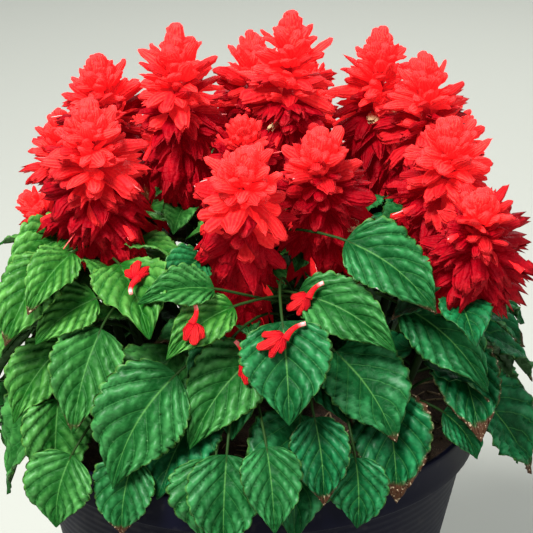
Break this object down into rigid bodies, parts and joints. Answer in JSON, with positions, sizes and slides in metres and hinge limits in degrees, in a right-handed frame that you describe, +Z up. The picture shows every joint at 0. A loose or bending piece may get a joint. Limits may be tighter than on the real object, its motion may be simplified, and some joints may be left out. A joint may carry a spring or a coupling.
{
  "type": "potted scarlet salvia",
  "caption": "Bushy scarlet salvia with upright red flower spikes over toothed green leaves, planted in a plain round tapered plastic pot.",
  "frame": {"origin": "centre of the flat underside of the pot", "axes": "+Z up along the pot, the front of the plant towards -Y, +X to the right of it"},
  "size_m": [0.3511, 0.3438, 0.4551],
  "materials": {
    "pot_plastic": "dark plum plastic, dull satin, with fine level ridges",
    "potting_soil": null,
    "foliage": null,
    "scarlet_flower": null
  },
  "bodies": {
    "root": {"pot": "pot_plastic", "soil": "potting_soil", "leafy_stem_01": "foliage", "leafy_stem_02": "foliage", "leafy_stem_03": "foliage", "leafy_stem_04": "foliage", "leafy_stem_05": "foliage", "leafy_stem_06": "foliage", "leafy_stem_07": "foliage", "leafy_stem_08": "foliage", "leafy_stem_09": "foliage", "leafy_stem_10": "foliage", "leafy_stem_11": "foliage", "leafy_stem_12": "foliage", "leafy_stem_13": "foliage", "leafy_stem_14": "foliage", "leafy_stem_15": "foliage", "leafy_stem_16": "foliage", "leafy_stem_17": "foliage", "leafy_stem_18": "foliage", "leafy_stem_19": "foliage", "flower_spike_01": "scarlet_flower", "flower_spike_02": "scarlet_flower", "flower_spike_03": "scarlet_flower", "flower_spike_04": "scarlet_flower", "flower_spike_05": "scarlet_flower", "flower_spike_06": "scarlet_flower", "flower_spike_07": "scarlet_flower", "flower_spike_08": "scarlet_flower", "flower_spike_09": "scarlet_flower", "flower_spike_10": "scarlet_flower", "flower_spike_11": "scarlet_flower", "flower_spike_12": "scarlet_flower", "flower_spike_13": "scarlet_flower", "flower_spike_14": "scarlet_flower", "flower_spike_15": "scarlet_flower", "flower_spike_16": "scarlet_flower", "flower_spike_17": "scarlet_flower", "flower_spike_18": "scarlet_flower", "flower_spike_19": "scarlet_flower", "fallen_floret_1": "scarlet_flower", "fallen_floret_2": "scarlet_flower", "fallen_floret_3": "scarlet_flower", "fallen_floret_4": "scarlet_flower", "fallen_floret_5": "scarlet_flower"}
  },
  "joints": []
}
